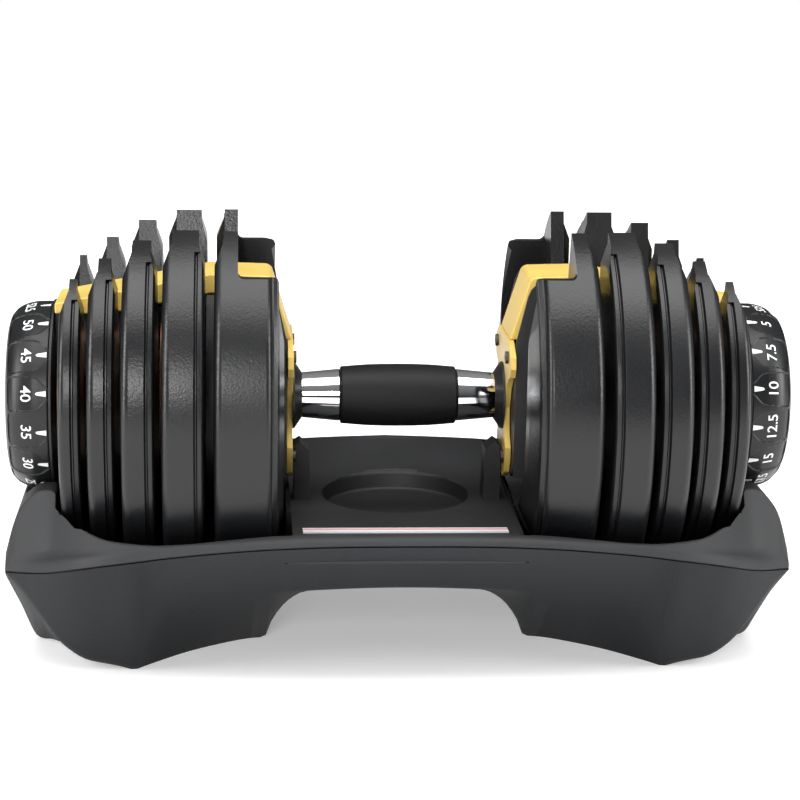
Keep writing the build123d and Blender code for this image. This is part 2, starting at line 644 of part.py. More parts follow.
def deck_hollow():
    """Slightly dished surface of the deck: a shallow cylinder about an axis along X."""
    middle = Pos(0, DECK_LOWEST_Y, DECK_LOWEST_Z + DECK_CURVE_RADIUS)
    bowl = middle * Rot(0, 90, 0) * Cylinder(DECK_CURVE_RADIUS, 2 * DECK_HALF_LENGTH)
    return bowl & block(-DECK_HALF_LENGTH, DECK_HALF_LENGTH, -97, 97, 60, 120)


def dish():
    """Round recess in the deck, with a sloping wall."""
    points = [(0, DISH_FLOOR), (35.5, DISH_FLOOR), (37.5, 71.0), (39.5, 78.5), (39.5, 90), (0, 90)]
    outline = make_face(Polyline(points, close=True))
    return Pos(0, DISH_Y, 0) * revolve(Plane.XZ * outline, Axis.Z)


def label_strip():
    return Pos(*LABEL_PLACE) * Rot(LABEL_TILT, 0, 0) * Box(LABEL_LENGTH, LABEL_WIDTH, LABEL_THICKNESS)


def well_bowls():
    """Undersides of the wells, kept below the parting line and clear of the top."""
    bowls = wells(BOWL_WALL, 1) + wells(BOWL_WALL, -1)
    return bowls & block(-180, 180, -85, 85, 20, BOWL_TOP)


def base_tray():
    tray = loft_along_x(both_ends(tray_outline, BASE_STATIONS)) + deck_body() + well_bowls()
    for side_name, side in SIDES:
        tray -= wells(0, side) + well_opening(side)
        tray -= place(ring(SADDLE_START, 210, DIAL_RADIUS + SADDLE_GAP), side)
    tray -= deck_hollow() + dish() + label_strip()
    return tray - base_screws()


def base_skirt():
    shell = loft_along_x(both_ends(skirt_outline, BASE_STATIONS))
    shell -= loft_along_x(both_ends(skirt_hollow_outline, BASE_STATIONS[:-3]))
    for x, top in BOSSES:
        for side in (-1, 1):
            shell += Pos(side * x, 0, top / 2) * Cylinder(BOSS_RADIUS, top)
    shell -= deck_body() + well_bowls()
    return shell - base_screws() - base_feet()


def base_screws():
    """Countersunk screws that go up through the skirt's bosses into the tray."""
    screws = []
    for x, top in BOSSES:
        for side in (-1, 1):
            head = Pos(side * x, 0, 7) * Cylinder(4.2, 4)
            shank = Pos(side * x, 0, (9 + top) / 2) * Cylinder(2.0, top - 9)
            screws.append(head + shank)
    return Compound(screws)


def base_feet():
    pads = []
    for x, y in FOOT_PLACES:
        for side in (-1, 1):
            pads.append(Pos(side * x, y, FOOT_HEIGHT / 2) * Cylinder(FOOT_RADIUS, FOOT_HEIGHT))
    return Compound(pads)


def release_posts():
    """Posts on the deck that push the lock pins in while the handle is docked."""
    posts = []
    for side in (-1, 1):
        outline = [(45.5, 72.5), (54.6, 72.5), (54.6, 106), (51.5, 108), (46.5, 104)]
        post = slab_xz([(side * x, z) for x, z in outline], 8)
        posts.append(post)
    return Compound(posts)


def make_base():
    posts = release_posts()
    save(base_tray() - posts, "base_tray")
    save(base_skirt() - posts, "base_skirt")
    save(base_screws(), "base_screws")
    save(base_feet(), "base_feet")
    save(label_strip(), "deck_label")
    save(posts, "release_posts")


for plate_side, plate_direction in SIDES:
    make_plates(plate_side, plate_direction)
make_handle()
make_dials()
make_base()
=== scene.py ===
import json
from math import cos, pi, radians, sin

import bmesh
import bpy
from mathutils import Matrix, Vector


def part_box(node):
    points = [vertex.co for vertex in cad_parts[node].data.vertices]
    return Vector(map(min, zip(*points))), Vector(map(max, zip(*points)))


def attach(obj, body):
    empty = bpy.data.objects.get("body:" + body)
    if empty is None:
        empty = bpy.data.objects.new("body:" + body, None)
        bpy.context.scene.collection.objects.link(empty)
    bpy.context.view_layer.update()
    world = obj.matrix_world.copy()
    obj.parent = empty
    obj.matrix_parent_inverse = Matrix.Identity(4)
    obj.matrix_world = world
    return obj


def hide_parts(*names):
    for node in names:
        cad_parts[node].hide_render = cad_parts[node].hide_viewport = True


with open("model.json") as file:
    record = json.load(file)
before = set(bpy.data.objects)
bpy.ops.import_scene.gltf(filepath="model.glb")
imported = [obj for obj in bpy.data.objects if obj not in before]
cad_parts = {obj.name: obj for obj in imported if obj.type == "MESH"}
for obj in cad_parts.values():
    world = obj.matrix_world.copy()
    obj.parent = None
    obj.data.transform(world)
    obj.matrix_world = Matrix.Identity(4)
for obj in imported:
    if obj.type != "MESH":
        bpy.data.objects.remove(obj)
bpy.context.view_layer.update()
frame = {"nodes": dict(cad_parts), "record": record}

# Looks of an adjustable dumbbell in its base. Metres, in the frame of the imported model:
# X along the handle, Z up, the origin on the floor under the middle of the base.

MM = 0.001
tube_low, tube_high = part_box("handle_tube")
AXIS_HEIGHT = (tube_low.z + tube_high.z) / 2
SIDES = (("left", -1), ("right", 1))
PLATE_COUNT = 5
ROUNDED_ANGLE = radians(30)     # edges that turn more than this are rounded


# ---------------------------------------------------------------- materials
# Colours are linear, and grain sizes and depths are in metres.
# Name: (dark, light, roughness, grain size, grain depth, grain strength, specular)
MOULDED_LOOKS = {
    "plate_black": ((0.0040, 0.0042, 0.0048), (0.0060, 0.0063, 0.0071), 0.33, 0.0009, 0.00012, 0.6, 0.4),
    "base_charcoal": ((0.0055, 0.0061, 0.0074), (0.0080, 0.0088, 0.0104), 0.62, 0.0009, 0.00016, 0.6, 0.25),
    "tray_charcoal": ((0.0110, 0.0115, 0.0125), (0.0155, 0.0161, 0.0175), 0.60, 0.0008, 0.00012, 0.6, 0.4),
    "grip_rubber": ((0.0040, 0.0040, 0.0044), (0.0065, 0.0065, 0.0070), 0.55, 0.0005, 0.00008, 0.4, 0.25),
    "collar_black": ((0.006, 0.006, 0.007), (0.010, 0.010, 0.011), 0.40, 0.0007, 0.00008, 0.4, 0.5),
    "frame_black": ((0.006, 0.006, 0.0065), (0.010, 0.010, 0.0105), 0.5, 0.0008, 0.0001, 0.6, 0.5),
    "dial_grey": ((0.0050, 0.0053, 0.0060), (0.0075, 0.0079, 0.0088), 0.36, 0.0006, 0.00004, 0.35, 0.35),
    "disc_amber": ((0.24, 0.09, 0.02), (0.33, 0.13, 0.03), 0.45, 0.0006, 0.00005, 0.35, 0.5),
    "foot_rubber": ((0.012, 0.012, 0.012), (0.02, 0.02, 0.02), 0.75, 0.0006, 0.0001, 0.6, 0.5),
    "number_white": ((0.74, 0.74, 0.73), (0.82, 0.82, 0.81), 0.5, 0.0005, 0.00002, 0.3, 0.5),
}
# Name: (dark, light, roughness, scratch strength)
METAL_LOOKS = {
    "core_steel": ((0.25, 0.25, 0.26), (0.36, 0.36, 0.37), 0.38, 0.5),
    "chrome_tube": ((0.78, 0.79, 0.81), (0.86, 0.87, 0.88), 0.05, 0.05),
    "rod_steel": ((0.42, 0.42, 0.43), (0.55, 0.55, 0.56), 0.25, 0.3),
    "screw_zinc": ((0.06, 0.055, 0.045), (0.10, 0.09, 0.075), 0.35, 0.3),
}
COLOUR_BLEND = (0.35, 0.65)     # noise values at which a mix of two colours starts and ends
NOISE_SPREAD = (0.3, 0.7)       # noise values that reach the ends of a range
CELL_TO_GRAIN = 0.55            # grain cells for each grain size
SCRATCH_DEPTH = 0.00002
LABEL_EDGE = (0.55, 0.56, 0.58)
# Colours across the label: (where the band starts, colour)
LABEL_BANDS = (
    (0.10, (0.72, 0.73, 0.74)), (0.46, (0.60, 0.045, 0.05)), (0.56, (0.70, 0.52, 0.52)),
    (0.70, (0.62, 0.10, 0.10)), (0.80, (0.75, 0.75, 0.76)), (0.95, (0.45, 0.46, 0.48)),
)


def node_of(tree, kind, **values):
    node = tree.nodes.new(kind)
    for name, value in values.items():
        if name in node.inputs:
            node.inputs[name].default_value = value
        else:
            setattr(node, name, value)
    return node


def start_material(name, roughness, metallic=0.0, specular=0.5):
    """An empty node material: its tree, shader and object coordinates."""
    material = bpy.data.materials.new(name)
    material.use_nodes = True
    tree = material.node_tree
    shader = tree.nodes["Principled BSDF"]
    shader.inputs["Roughness"].default_value = roughness
    shader.inputs["Metallic"].default_value = metallic
    shader.inputs["Specular IOR Level"].default_value = specular
    place = tree.nodes.new("ShaderNodeTexCoord").outputs["Object"]
    return material, tree, shader, place


def noise(tree, place, scale, detail=3.0):
    node = node_of(tree, "ShaderNodeTexNoise", Scale=scale, Detail=detail)
    tree.links.new(place, node.inputs["Vector"])
    return node.outputs["Fac"]


def colours(tree, fac, low, high):
    """Two colours mixed by a noise."""
    ramp = tree.nodes.new("ShaderNodeValToRGB")
    for stop, position, colour in zip(ramp.color_ramp.elements, COLOUR_BLEND, (low, high)):
        stop.position = position
        stop.color = (*colour, 1)
    tree.links.new(fac, ramp.inputs["Fac"])
    return ramp.outputs["Color"]


def ranged(tree, fac, low, high):
    """A noise spread over a range."""
    node = tree.nodes.new("ShaderNodeMapRange")
    node.inputs["From Min"].default_value, node.inputs["From Max"].default_value = NOISE_SPREAD
    node.inputs["To Min"].default_value = low
    node.inputs["To Max"].default_value = high
    tree.links.new(fac, node.inputs["Value"])
    return node.outputs["Result"]


def bumped(tree, shader, layers):
    """Stacks bumps, each (height socket, distance in metres, strength)."""
    normal = None
    for height, distance, strength in layers:
        bump = node_of(tree, "ShaderNodeBump", Strength=strength, Distance=distance)
        tree.links.new(height, bump.inputs["Height"])
        if normal is not None:
            tree.links.new(normal, bump.inputs["Normal"])
        normal = bump.outputs["Normal"]
    tree.links.new(normal, shader.inputs["Normal"])


def moulded(name, dark, light, roughness, grain_size, grain_depth, grain_strength, specular):
    """Moulded plastic: an even colour with faint clouds, and a leathery grain."""
    material, tree, shader, place = start_material(name, roughness, specular=specular)
    cloud = noise(tree, place, 18.0, 4.0)
    grain = noise(tree, place, 1.0 / grain_size, 2.5)
    tree.links.new(colours(tree, cloud, dark, light), shader.inputs["Base Color"])
    tree.links.new(ranged(tree, cloud, roughness - 0.05, roughness + 0.06), shader.inputs["Roughness"])
    cells = node_of(tree, "ShaderNodeTexVoronoi", Scale=CELL_TO_GRAIN / grain_size)
    tree.links.new(place, cells.inputs["Vector"])
    bumped(tree, shader, [
        (cells.outputs["Distance"], grain_depth, grain_strength * 0.6),
        (grain, grain_depth, grain_strength),
    ])
    return material


def metal(name, dark, light, roughness, scratch_strength):
    """Metal with faint clouds and fine scratches."""
    material, tree, shader, place = start_material(name, roughness, metallic=1.0)
    cloud = noise(tree, place, 60.0, 3.0)
    fine = noise(tree, place, 2500.0, 2.0)
    tree.links.new(colours(tree, cloud, dark, light), shader.inputs["Base Color"])
    tree.links.new(ranged(tree, cloud, roughness, roughness * 1.7), shader.inputs["Roughness"])
    bumped(tree, shader, [(fine, SCRATCH_DEPTH, scratch_strength)])
    return material


def yellow_plastic():
    """Yellow moulding with faint clouds and a satin skin."""
    material, tree, shader, place = start_material("yellow_plastic", 0.42, specular=0.35)
    cloud = noise(tree, place, 30.0, 3.0)
    tree.links.new(colours(tree, cloud, (0.62, 0.43, 0.10), (0.70, 0.50, 0.13)), shader.inputs["Base Color"])
    grain = noise(tree, place, 1600.0, 2.0)
    tree.links.new(ranged(tree, cloud, 0.36, 0.50), shader.inputs["Roughness"])
    bumped(tree, shader, [(grain, 0.00006, 0.5)])
    return material


def label_material():
    """A strip with a red band on white, as on a sticker without its text."""
    material, tree, shader, place = start_material("label_print", 0.38)
    low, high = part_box("deck_label")
    parts = tree.nodes.new("ShaderNodeSeparateXYZ")
    tree.links.new(place, parts.inputs["Vector"])
    across = tree.nodes.new("ShaderNodeMapRange")
    across.inputs["From Min"].default_value = low.y
    across.inputs["From Max"].default_value = high.y
    tree.links.new(parts.outputs["Y"], across.inputs["Value"])
    bands = tree.nodes.new("ShaderNodeValToRGB")
    bands.color_ramp.interpolation = "CONSTANT"
    stops = bands.color_ramp.elements
    stops[0].color = (*LABEL_EDGE, 1)
    for position, colour in LABEL_BANDS:
        stop = stops.new(position)
        stop.color = (*colour, 1)
    tree.links.new(across.outputs["Result"], bands.inputs["Fac"])
    tree.links.new(bands.outputs["Color"], shader.inputs["Base Color"])
    fibre = noise(tree, place, 900.0, 2.0)
    tree.links.new(ranged(tree, fibre, 0.32, 0.46), shader.inputs["Roughness"])
    bumped(tree, shader, [(fibre, 0.00003, 0.4)])
    return material


MATERIALS = {name: moulded(name, *look) for name, look in MOULDED_LOOKS.items()}
MATERIALS.update({name: metal(name, *look) for name, look in METAL_LOOKS.items()})
MATERIALS["yellow_plastic"] = yellow_plastic()
MATERIALS["label_print"] = label_material()


# ---------------------------------------------------------------- the CAD nodes
# (part of a node's name, its material); the first that fits counts.
NAME_SLOTS = (
    ("_cover", "plate_black"), ("_core", "core_steel"), ("_selector_disc_", "disc_amber"),
    ("base_skirt", "base_charcoal"), ("base_tray", "tray_charcoal"), ("release_posts", "frame_black"),
    ("grip_sleeve", "grip_rubber"), ("handle_tube", "chrome_tube"), ("tie_rod", "rod_steel"),
    ("end_nuts", "screw_zinc"), ("_screws", "screw_zinc"), ("lock_springs", "screw_zinc"),
    ("_collar", "collar_black"), ("_end_plate", "yellow_plastic"), ("_bridge_hood", "yellow_plastic"),
    ("_bearing_frame", "frame_black"), ("_lock_pin", "rod_steel"), ("_dial_spindle", "frame_black"),
    ("_dial_knob", "dial_grey"), ("_dial_cap", "dial_grey"), ("_feet", "foot_rubber"),
    ("deck_label", "label_print"),
)
MERGE_DISTANCE = 0.01 * MM
FLAT_ANGLE = radians(0.6)       # faces that turn less than this are joined
FLAT_WEIGHT = 80
HOOD_ROUNDING = 0.9 * MM
END_PLATE_ROUNDING = 0.5 * MM
PLATE_ROUNDING = 0.9 * MM


def slot_for(node_name):
    """Which material a CAD node takes, from what it is called."""
    return next(slot for mark, slot in NAME_SLOTS if mark in node_name)


for node_name, node_object in frame["nodes"].items():
    node_object.data.materials.clear()
    node_object.data.materials.append(MATERIALS[slot_for(node_name)])


def body_of_node(node_name):
    for body, members in frame["record"]["behaviour"]["bodies"].items():
        if node_name in members:
            return body
    return "base"


def finish_piece(piece, slot, body, *nodes):
    """Gives a piece its material and its body, and hides the CAD nodes that it stands for."""
    piece.data.materials.clear()
    piece.data.materials.append(MATERIALS[slot])
    if nodes:
        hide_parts(*nodes)
    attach(piece, body)
    return piece


def new_piece(name, mesh):
    piece = bpy.data.objects.new(name, mesh)
    bpy.context.scene.collection.objects.link(piece)
    return piece


def even_normals(piece):
    """Keeps wide flat faces flat under smooth shading."""
    weighting = piece.modifiers.new("normals", "WEIGHTED_NORMAL")
    weighting.keep_sharp = True
    weighting.weight = FLAT_WEIGHT


def round_edges(piece, width, segments, clamped):
    bevel = piece.modifiers.new("edges", "BEVEL")
    bevel.width = width
    bevel.segments = segments
    bevel.limit_method = "ANGLE"
    bevel.angle_limit = ROUNDED_ANGLE
    bevel.use_clamp_overlap = clamped
    bevel.harden_normals = True


def softened(node_name, width, segments=2):
    """A copy of a CAD node with its flat faces joined and its edges rounded."""
    mesh = frame["nodes"][node_name].data.copy()
    work = bmesh.new()
    work.from_mesh(mesh)
    bmesh.ops.remove_doubles(work, verts=work.verts, dist=MERGE_DISTANCE)
    bmesh.ops.dissolve_limit(
        work, angle_limit=FLAT_ANGLE, verts=work.verts, edges=work.edges, use_dissolve_boundaries=False)
    work.to_mesh(mesh)
    work.free()
    piece = new_piece(node_name + "_moulding", mesh)
    mesh.shade_smooth()
    round_edges(piece, width, segments, clamped=True)
    even_normals(piece)
    return finish_piece(piece, slot_for(node_name), body_of_node(node_name), node_name)


for side_name, _ in SIDES:
    softened(f"{side_name}_bridge_hood", HOOD_ROUNDING, segments=3)
    softened(f"{side_name}_end_plate", END_PLATE_ROUNDING)
    for number in range(1, PLATE_COUNT + 1):
        softened(f"{side_name}_plate_{number}_cover", PLATE_ROUNDING)


# ---------------------------------------------------------------- mesh helpers
TURN_SEGMENTS = 180


def mesh_of(name, points, faces):
    mesh = bpy.data.meshes.new(name)
    mesh.from_pydata([tuple(point) for point in points], [], faces)
    work = bmesh.new()
    work.from_mesh(mesh)
    bmesh.ops.recalc_face_normals(work, faces=work.faces)
    work.to_mesh(mesh)
    work.free()
    return mesh


def loft(name, sections):
    """Closed mesh through loops of points, all with the same number of points."""
    count = len(sections[0])
    points = [point for section in sections for point in section]
    faces = []
    for row in range(len(sections) - 1):
        for column in range(count):
            beside = (column + 1) % count
            a, b = row * count + column, row * count + beside
            faces.append((a, b, b + count, a + count))
    faces.append(tuple(range(count)))
    faces.append(tuple(range(len(points) - count, len(points))))
    return mesh_of(name, points, faces)


def around_handle(x, radius, angle):
    """A point at an angle, from the front upwards, about the handle axis."""
    return Vector((x, -radius * cos(angle), AXIS_HEIGHT + radius * sin(angle)))


def rod_shape(name, profile, side):
    """Closed mesh about the handle axis from an open (x, radius) outline in mm, capped at both ends."""
    angles = [2 * pi * step / TURN_SEGMENTS for step in range(TURN_SEGMENTS)]
    return loft(name, [
        [around_handle(side * x * MM, radius * MM, angle) for angle in angles] for x, radius in profile])


def prism(name, outline, low, high):
    """Outline of (x, y) points in mm, raised between two heights."""
    return loft(name, [[Vector((x * MM, y * MM, z * MM)) for x, y in outline] for z in (low, high)])


def steady_slopes(stops):
    """Slopes at the stops of a curve that never overshoots them."""
    steps = [(b[1] - a[1]) / (b[0] - a[0]) for a, b in zip(stops, stops[1:])]
    slopes = [0.0]
    for (x0, _), (x1, _), (x2, _), before, after in zip(stops, stops[1:], stops[2:], steps, steps[1:]):
        mean = (before * (x2 - x1) + after * (x1 - x0)) / (x2 - x0)
        limit = 3 * min(abs(before), abs(after))
        slopes.append(0.0 if before * after <= 0 else max(-limit, min(limit, mean)))
    slopes.append(steps[-1])
    return slopes


def curve_through(stops):
    """Smooth curve through (x, value) stops, as a function of x."""
    slopes = steady_slopes(stops)

    def value(x):
        index = 0
        while index < len(stops) - 2 and x > stops[index + 1][0]:
            index += 1
        (x0, v0), (x1, v1) = stops[index], stops[index + 1]
        width = x1 - x0
        t = min(1.0, max(0.0, (x - x0) / width))
        return (
            v0 * (1 + 2 * t) * (1 - t) ** 2 + v1 * t * t * (3 - 2 * t)
            + width * (slopes[index] * t * (1 - t) ** 2 - slopes[index + 1] * t * t * (1 - t))
        )

    return value


def rounded_corner(before, corner, after, reach, steps=4):
    """Points that round one corner of a section."""
    before, corner, after = Vector(before), Vector(corner), Vector(after)
    start = corner + (before - corner).normalized() * min(reach, 0.45 * (before - corner).length)
    end = corner + (after - corner).normalized() * min(reach, 0.45 * (after - corner).length)
    points = []
    for step in range(steps + 1):
        t = step / steps
        points.append(start * (1 - t) ** 2 + corner * (2 * t * (1 - t)) + end * t * t)
    return points


# ---------------------------------------------------------------- base
# Cross-sections along X, in mm: (x, parting line, lip, bevel foot, top, lower edge, foot),
# each pair (y, z) on the front or the back half.
BASE_STATIONS = (
    (0, (106, 79), (104.6, 82), (101.5, 83.5), (97, 83), (58, 43.6), (8, 28.6)),
    (43, (105.8, 78.6), (104.4, 81.6), (101.3, 83.2), (97, 82.8), (58, 42.4), (8, 27.4)),
    (53, (105.6, 78.2), (104.2, 81.3), (101, 83), (97, 82.7), (58, 41.9), (8, 24.6)),
    (61, (105.4, 77.8), (104, 80.8), (101, 82.5), (97.2, 82.3), (58, 41.4), (7, 17.4)),
    (67, (105.2, 77.5), (103.8, 80.5), (101, 82.1), (97.4, 82.1), (58, 40.7), (6, 7.5)),
    (70, (105.1, 77.3), (103.7, 80.3), (101, 81.9), (97.5, 81.9), (58, 40.3), (5, 0)),
    (97, (103.4, 74.8), (102, 78), (100, 79.5), (98, 79.5), (58, 35.6), (18, 0)),
    (114, (101.4, 72.6), (100.1, 76), (99, 77.6), (97.3, 77.8), (58, 31.2), (32, 0)),
    (124, (99.9, 71), (98.6, 74.8), (97.4, 76.4), (95.6, 77.1), (58, 25.2), (42.5, 0)),
    (130, (98.9, 69.9), (97.5, 73.9), (96.3, 75.6), (94.7, 77), (57.8, 15.6), (49, 0)),
    (137, (97.8, 68.7), (96.3, 73), (95, 74.8), (93.2, 77), (57.4, 1.2), (56, 0)),
    (150, (94, 66), (92.4, 70.5), (90.2, 72.4), (86.5, 77.6), (57, 2.8), (42, 0)),
    (165, (86, 61.8), (84.3, 66.8), (81, 68.8), (71.5, 82.5), (55.5, 6.8), (25, 0)),
    (178, (73.5, 56.8), (71.7, 61.8), (68, 64.5), (51.5, 93.6), (54, 18.6), (10, 0)),
    (184, (67.5, 54.8), (65.7, 59.6), (62.5, 62.6), (49.6, 93), (53.3, 27.6), (5, 0)),
    (190, (61.5, 53.2), (60, 57.6), (57.6, 61), (48, 88), (52.4, 36.6), (6, 2)),
    (198, (54.5, 51.6), (53.6, 55.6), (52.3, 58), (46, 74), (51.4, 46.5), (20, 26)),
    (202, (51.8, 51.1), (51.3, 52.6), (50.8, 54), (45.5, 59), (51, 50.2), (40, 44)),
)
STATION_CURVES = [
    [curve_through([(row[0], row[column][axis]) for row in BASE_STATIONS]) for axis in (0, 1)]
    for column in range(1, 7)
]
REAR_RISE = 3.0
REAR_RISE_LENGTH = 110.0
PARTING_GAP = 0.5
PARTING_STEP = 1.5
WELL_OUTLINE = ((59.5, 97), (105, 97.5), (128, 94.5), (150, 85.5), (165, 73), (175.4, 58))
WELL_HEIGHTS = (62, 122)
WELL_CLEARANCE = 0.5
WELL_END_GAP = 0.8
RIB_HEIGHT = 8.0
BOWL_WALL = 3.5
BOWL_LIMITS_X = (40, 180)
BOWL_LIMIT_Y = 85
BOWL_HEIGHTS = (20, 72)
SADDLE_PROFILE = ((174.4, 51.2), (210, 51.2))
DECK_HALF = 59.0
DECK_OVERLAP = 2.0
DECK_HALF_DEPTH = 91
DECK_UNDERSIDE = 66
DECK_TOP = 80
DECK_ROOM_TOP = 200
HOLLOW_RADIUS = 780.0
HOLLOW_MIDDLE_Y = -20.0
HOLLOW_LOWEST = 76.6
HOLLOW_HALF_DEPTH = 97.0
HOLLOW_TOP = 120.0
HOLLOW_STEPS = 40
DISH_MIDDLE_Y = 6.0
# (radius, height) from the middle of the dish's floor outwards and up
DISH_PROFILE = (
    (0.01, 69.5), (35.0, 69.5), (36.4, 69.9), (37.4, 71.0), (39.3, 77.2), (40.2, 78.4), (42.5, 79.4),
    (42.5, 95.0),
)
DISH_SEGMENTS = 128
MANY_CORNERS = 100
TRAY_ROUNDING = 0.7 * MM
SKIRT_SHARP_ANGLE = radians(38)
END_SECTIONS_START = 177
END_SECTION_STEP = 1.25
END_SECTION_COUNT = 21
SECTION_STEP = 3.0


def base_places():
    """X of the sections: closer together where the base turns up at its ends."""
    places = [SECTION_STEP * step for step in range(int(END_SECTIONS_START / SECTION_STEP))]
    places += [END_SECTIONS_START + END_SECTION_STEP * step for step in range(END_SECTION_COUNT)]
    return [-x for x in reversed(places[1:])] + places


def station_at(x):
    return [(y_curve(abs(x)), z_curve(abs(x))) for y_curve, z_curve in STATION_CURVES]


def section(x, half, rise=0.0):
    """Loop of points at x from its front half, listed from the lowest outwards and up."""
    front = [Vector((x * MM, -y * MM, z * MM)) for y, z in half]
    rear = []
    for (y, z), share in zip(half, rise_shares(half)):
        rear.append(Vector((x * MM, y * MM, (z + rise * share) * MM)))
    return front + list(reversed(rear))


def rise_shares(half):
    """How much of the rear rise each point of a half section takes: none at its first point."""
    return [min(1.0, index / 3) for index in range(len(half))]


def tray_section(x):
    parting, lip, bevel, top = station_at(x)[:4]
    rise = REAR_RISE * max(0.0, 1 - abs(x) / REAR_RISE_LENGTH)
    half = [parting]
    half += [tuple(point) for point in rounded_corner(parting, lip, bevel, 3.0, 3)]
    half += [tuple(point) for point in rounded_corner(lip, bevel, top, 3.0, 3)]
    half.append(top)
    return section(x, half, rise)


def skirt_section(x):
    parting, lower, foot = (station_at(x)[column] for column in (0, 4, 5))
    half = [foot]
    half += [tuple(point) for point in rounded_corner(foot, lower, parting, 4.0)]
    half.append((parting[0], parting[1] - PARTING_GAP))
    half.append((parting[0] - PARTING_STEP, parting[1] - PARTING_GAP))
    half.append((parting[0] - PARTING_STEP, parting[1] + PARTING_GAP))
    return section(x, half)


def plate_faces():
    """(outer face, inner face, radius) of each plate in mm, from the frame."""
    faces = []
    for number in range(1, PLATE_COUNT + 1):
        low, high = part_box(f"right_plate_{number}_cover")
        faces.append((high.x / MM, low.x / MM, (AXIS_HEIGHT - low.z) / MM))
    return faces


PLATE_FACES = plate_faces()


def well_profile():
    """(x, radius) outline of the space for a side's plates, with ribs between them."""
    points = []
    for index in reversed(range(PLATE_COUNT)):
        outer, inner, radius = PLATE_FACES[index]
        start, end = inner - WELL_END_GAP, outer + WELL_END_GAP
        points += [(start, radius + WELL_CLEARANCE), (end, radius + WELL_CLEARANCE)]
        if index:
            rib = PLATE_FACES[index - 1][2] - RIB_HEIGHT
            points += [(end, rib), (PLATE_FACES[index - 1][1] - WELL_END_GAP, rib)]
    return points


def bowl_profile():
    """(x, radius) outline of the wells' undersides."""
    points = [(PLATE_FACES[-1][1] - WELL_END_GAP - BOWL_WALL, PLATE_FACES[-1][2] + BOWL_WALL)]
    for index in reversed(range(PLATE_COUNT)):
        outer, _, radius = PLATE_FACES[index]
        end = outer + WELL_END_GAP + BOWL_WALL
        points.append((end, radius + BOWL_WALL))
        if index:
            points.append((end, PLATE_FACES[index - 1][2] + BOWL_WALL))
    return points


def cut(piece, cutter_mesh, operation="DIFFERENCE"):
    """One boolean of closed meshes, applied to the piece."""
    cutter = new_piece("cutter", cutter_mesh)
    modifier = piece.modifiers.new("cut", "BOOLEAN")
    modifier.operation = operation
    modifier.solver = "MANIFOLD"
    modifier.object = cutter
    bake_modifiers(piece)
    bpy.data.objects.remove(cutter)


def split_ledges(piece):
    """Triangles in place of the flat faces with many corners, which don't fill cleanly once bevelled."""
    work = bmesh.new()
    work.from_mesh(piece.data)
    bmesh.ops.triangulate(work, faces=[face for face in work.faces if len(face.verts) > MANY_CORNERS])
    work.to_mesh(piece.data)
    work.free()


def bake_modifiers(piece):
    bpy.context.view_layer.update()
    shaped = piece.evaluated_get(bpy.context.evaluated_depsgraph_get())
    mesh = bpy.data.meshes.new_from_object(shaped)
    piece.modifiers.clear()
    piece.data = mesh


def deck_hollow_mesh():
    """Space above the deck: a wide shallow trough."""
    outline = [(HOLLOW_HALF_DEPTH, HOLLOW_TOP), (-HOLLOW_HALF_DEPTH, HOLLOW_TOP)]
    for step in range(HOLLOW_STEPS + 1):
        y = -HOLLOW_HALF_DEPTH + 2 * HOLLOW_HALF_DEPTH * step / HOLLOW_STEPS
        depth = (HOLLOW_RADIUS**2 - (y - HOLLOW_MIDDLE_Y) ** 2) ** 0.5
        outline.append((y, HOLLOW_LOWEST + HOLLOW_RADIUS - depth))
    return loft("deck_hollow", [
        [Vector((x * MM, y * MM, z * MM)) for y, z in outline] for x in (-DECK_HALF, DECK_HALF)])


def dish_mesh():
    """Round recess in the deck with a sloping wall and a rounded floor edge."""
    angles = [2 * pi * step / DISH_SEGMENTS for step in range(DISH_SEGMENTS)]
    loops = []
    for radius, z in DISH_PROFILE:
        loops.append([
            Vector((radius * cos(angle) * MM, (DISH_MIDDLE_Y + radius * sin(angle)) * MM, z * MM))
            for angle in angles])
    return loft("dish", loops)


def rectangle(x0, x1, half_depth):
    return [(x0, -half_depth), (x1, -half_depth), (x1, half_depth), (x0, half_depth)]


def deck_outline():
    half = DECK_HALF + DECK_OVERLAP
    return rectangle(-half, half, DECK_HALF_DEPTH)


def well_outline(side):
    """Outline of a side's opening, seen from above."""
    return [(side * x, -y) for x, y in WELL_OUTLINE] + [(side * x, y) for x, y in reversed(WELL_OUTLINE)]


def base_tray():
    """Upper moulding: a lip, two stepped wells, a deck with a dish, and saddles for the dials."""
    tray = new_piece("tray_shell", loft("tray_shell", [tray_section(x) for x in base_places()]))
    cut(tray, prism("deck", deck_outline(), DECK_UNDERSIDE, DECK_TOP), "UNION")
    for _, side in SIDES:
        bowl = new_piece("bowl", rod_shape("bowl", bowl_profile(), side))
        limits = rectangle(side * BOWL_LIMITS_X[0], side * BOWL_LIMITS_X[1], BOWL_LIMIT_Y)
        cut(bowl, prism("limits", limits, *BOWL_HEIGHTS), "INTERSECT")
        cut(tray, bowl.data.copy(), "UNION")
        bpy.data.objects.remove(bowl)
    for _, side in SIDES:
        cut(tray, rod_shape("well", well_profile(), side))
        cut(tray, prism("opening", well_outline(side), *WELL_HEIGHTS))
        cut(tray, rod_shape("saddle", SADDLE_PROFILE, side))
    cut(tray, deck_hollow_mesh())
    cut(tray, dish_mesh())
    split_ledges(tray)
    round_edges(tray, TRAY_ROUNDING, 2, clamped=False)
    tray.data.shade_smooth()
    even_normals(tray)
    finish_piece(tray, "tray_charcoal", "base", "base_tray")


